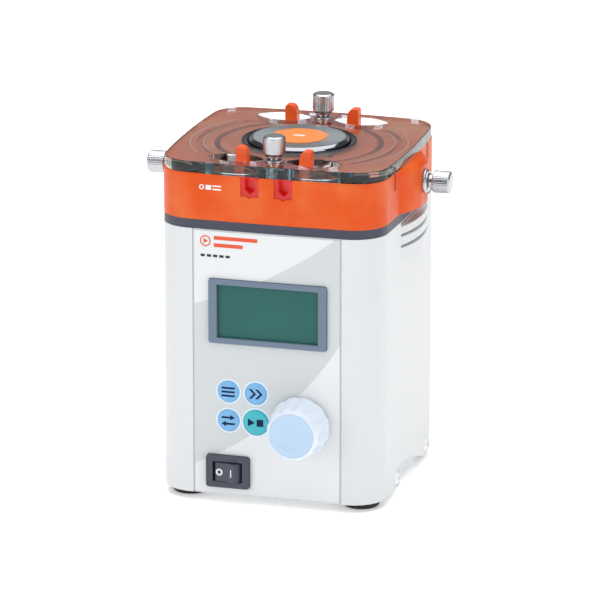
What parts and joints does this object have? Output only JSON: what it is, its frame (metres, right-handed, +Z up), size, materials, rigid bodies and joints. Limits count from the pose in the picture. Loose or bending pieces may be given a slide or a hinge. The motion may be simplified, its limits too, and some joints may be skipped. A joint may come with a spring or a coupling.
{
  "type": "peristaltic pump",
  "caption": "Bench-top peristaltic pump: square white case with display, keys and knob, orange roller head under a clear screwed-down lid, thumbscrew pressure shoes.",
  "frame": {"origin": "middle of the bounding box, on the plane the feet stand on", "axes": "+X to the right of the front panel, -Y out of the front panel, +Z up along the rotor axis"},
  "size_m": [0.1558, 0.1368, 0.1856],
  "materials": {
    "black_rubber": "matte",
    "white_shell": "fine satin",
    "white_paint": "satin",
    "zinc_steel": "satin",
    "overlay_film": "matte film",
    "slate_plastic": "satin",
    "display_glass": "gloss",
    "green_board": "satin",
    "blue_key": "satin",
    "teal_key": "satin",
    "pale_knob": "satin",
    "switch_plastic": "satin",
    "black_plastic": "satin",
    "black_paint": "satin",
    "deck_slate": "satin",
    "bright_steel": "polished",
    "orange_plastic": "satin",
    "chrome": "mirror",
    "turned_cap": "turned",
    "badge_orange": "gloss",
    "smoked_clear": "clear smoked",
    "red_clear": "clear red",
    "clamp_orange": "satin",
    "roller_plastic": "satin"
  },
  "bodies": {
    "case": {"rubber_feet": "black_rubber", "base_plate": "white_shell", "frame_posts": "zinc_steel", "left_cover": "white_shell", "right_cover": "white_shell", "cover_screws": "white_paint", "front_panel": "white_shell", "keypad_overlay": "overlay_film", "display_bezel": "slate_plastic", "display_window": "display_glass", "lcd_module": "green_board", "encoder": "zinc_steel", "switch_housing": "switch_plastic", "control_board": "green_board", "rear_panel": "white_shell", "rear_panel_screws": "zinc_steel", "power_inlet": "black_plastic", "fuse_holder": "black_plastic", "power_supply": "green_board", "motor": "black_paint", "gearbox": "zinc_steel", "motor_bracket": "zinc_steel", "bracket_standoffs": "zinc_steel", "deck_plate": "deck_slate", "shaft_bearing": "zinc_steel", "head_base": "orange_plastic", "front_left_guide": "red_clear", "front_right_guide": "red_clear", "rear_left_guide": "red_clear", "rear_right_guide": "red_clear"},
    "rotor": {"drive_shaft": "bright_steel", "rotor_hub": "bright_steel", "rotor_lower_plate": "bright_steel", "rotor_upper_plate": "orange_plastic", "roller_pins": "bright_steel", "rotor_cap": "turned_cap", "rotor_badge": "badge_orange"},
    "roller_1": {"roller_1": "roller_plastic"},
    "roller_2": {"roller_2": "roller_plastic"},
    "roller_3": {"roller_3": "roller_plastic"},
    "roller_4": {"roller_4": "roller_plastic"},
    "left_shoe": {"left_shoe": "orange_plastic"},
    "right_shoe": {"right_shoe": "orange_plastic"},
    "left_adjuster": {"left_adjuster": "chrome"},
    "right_adjuster": {"right_adjuster": "chrome"},
    "front_left_clamp": {"front_left_clamp": "clamp_orange"},
    "front_right_clamp": {"front_right_clamp": "clamp_orange"},
    "rear_left_clamp": {"rear_left_clamp": "clamp_orange"},
    "rear_right_clamp": {"rear_right_clamp": "clamp_orange"},
    "lid": {"lid": "smoked_clear", "lid_ring": "deck_slate"},
    "front_lid_screw": {"front_lid_screw": "chrome"},
    "rear_lid_screw": {"rear_lid_screw": "chrome"},
    "knob": {"encoder_knob": "pale_knob", "encoder_shaft": "zinc_steel"},
    "menu_button": {"menu_button": "blue_key"},
    "fast_button": {"fast_button": "blue_key"},
    "direction_button": {"direction_button": "blue_key"},
    "run_button": {"run_button": "teal_key"},
    "power_rocker": {"power_rocker": "switch_plastic"}
  },
  "joints": [
    {"name": "rotor_spin", "type": "hinge", "parent": "case", "child": "rotor", "pos_m": [0, 0.00735, 0.1443], "axis": [0, 0, 1], "continuous": true},
    {"name": "roller_1_spin", "type": "hinge", "parent": "rotor", "child": "roller_1", "pos_m": [0.02192, 0.02927, 0.1543], "axis": [0, 0, 1], "continuous": true},
    {"name": "roller_2_spin", "type": "hinge", "parent": "rotor", "child": "roller_2", "pos_m": [-0.02192, 0.02927, 0.1543], "axis": [0, 0, 1], "continuous": true},
    {"name": "roller_3_spin", "type": "hinge", "parent": "rotor", "child": "roller_3", "pos_m": [-0.02192, -0.01457, 0.1543], "axis": [0, 0, 1], "continuous": true},
    {"name": "roller_4_spin", "type": "hinge", "parent": "rotor", "child": "roller_4", "pos_m": [0.02192, -0.01457, 0.1543], "axis": [0, 0, 1], "continuous": true},
    {"name": "left_screw_turn", "type": "hinge", "parent": "case", "child": "left_adjuster", "pos_m": [-0.06, 0.00735, 0.1561], "axis": [-1, 0, 0], "range_deg": [0, 1080]},
    {"name": "left_shoe_slide", "type": "slide", "parent": "case", "child": "left_shoe", "axis": [-1, 0, 0], "range_m": [0, 0.003]},
    {"name": "right_screw_turn", "type": "hinge", "parent": "case", "child": "right_adjuster", "pos_m": [0.06, 0.00735, 0.1561], "axis": [1, 0, 0], "range_deg": [0, 1080]},
    {"name": "right_shoe_slide", "type": "slide", "parent": "case", "child": "right_shoe", "axis": [1, 0, 0], "range_m": [0, 0.003]},
    {"name": "front_left_clamp_slide", "type": "slide", "parent": "case", "child": "front_left_clamp", "axis": [-1, 0, 0], "range_m": [0, 0.006], "stiffness_N_per_m": 250, "springref_m": -0.002},
    {"name": "front_right_clamp_slide", "type": "slide", "parent": "case", "child": "front_right_clamp", "axis": [1, 0, 0], "range_m": [0, 0.006], "stiffness_N_per_m": 250, "springref_m": -0.002},
    {"name": "rear_left_clamp_slide", "type": "slide", "parent": "case", "child": "rear_left_clamp", "axis": [-1, 0, 0], "range_m": [0, 0.006], "stiffness_N_per_m": 250, "springref_m": -0.002},
    {"name": "rear_right_clamp_slide", "type": "slide", "parent": "case", "child": "rear_right_clamp", "axis": [1, 0, 0], "range_m": [0, 0.006], "stiffness_N_per_m": 250, "springref_m": -0.002},
    {"name": "lid_lift", "type": "slide", "parent": "case", "child": "lid", "axis": [0, 0, 1], "range_m": [0, 0.035]},
    {"name": "front_lid_screw_turn", "type": "hinge", "parent": "lid", "child": "front_lid_screw", "pos_m": [0, -0.03695, 0.1727], "axis": [0, 0, 1], "range_deg": [0, 1440]},
    {"name": "rear_lid_screw_turn", "type": "hinge", "parent": "lid", "child": "rear_lid_screw", "pos_m": [0, 0.05165, 0.1727], "axis": [0, 0, 1], "range_deg": [0, 1440]},
    {"name": "knob_turn", "type": "hinge", "parent": "case", "child": "knob", "pos_m": [0.0173, -0.05125, 0.043], "axis": [0, 1, 0], "continuous": true},
    {"name": "menu_button_press", "type": "slide", "parent": "case", "child": "menu_button", "axis": [0, 1, 0], "range_m": [0, 0.0005], "stiffness_N_per_m": 1500},
    {"name": "fast_button_press", "type": "slide", "parent": "case", "child": "fast_button", "axis": [0, 1, 0], "range_m": [0, 0.0005], "stiffness_N_per_m": 1500},
    {"name": "direction_button_press", "type": "slide", "parent": "case", "child": "direction_button", "axis": [0, 1, 0], "range_m": [0, 0.0005], "stiffness_N_per_m": 1500},
    {"name": "run_button_press", "type": "slide", "parent": "case", "child": "run_button", "axis": [0, 1, 0], "range_m": [0, 0.0005], "stiffness_N_per_m": 1500},
    {"name": "power_rocker_tip", "type": "hinge", "parent": "case", "child": "power_rocker", "pos_m": [-0.0198, -0.04945, 0.0164], "axis": [0, 0, 1], "range_deg": [0, 20]}
  ],
  "couplings": [
    {"joint": "left_screw_turn", "follows": "left_shoe_slide", "rad_per_m": 6283.2},
    {"joint": "right_screw_turn", "follows": "right_shoe_slide", "rad_per_m": 6283.2}
  ]
}
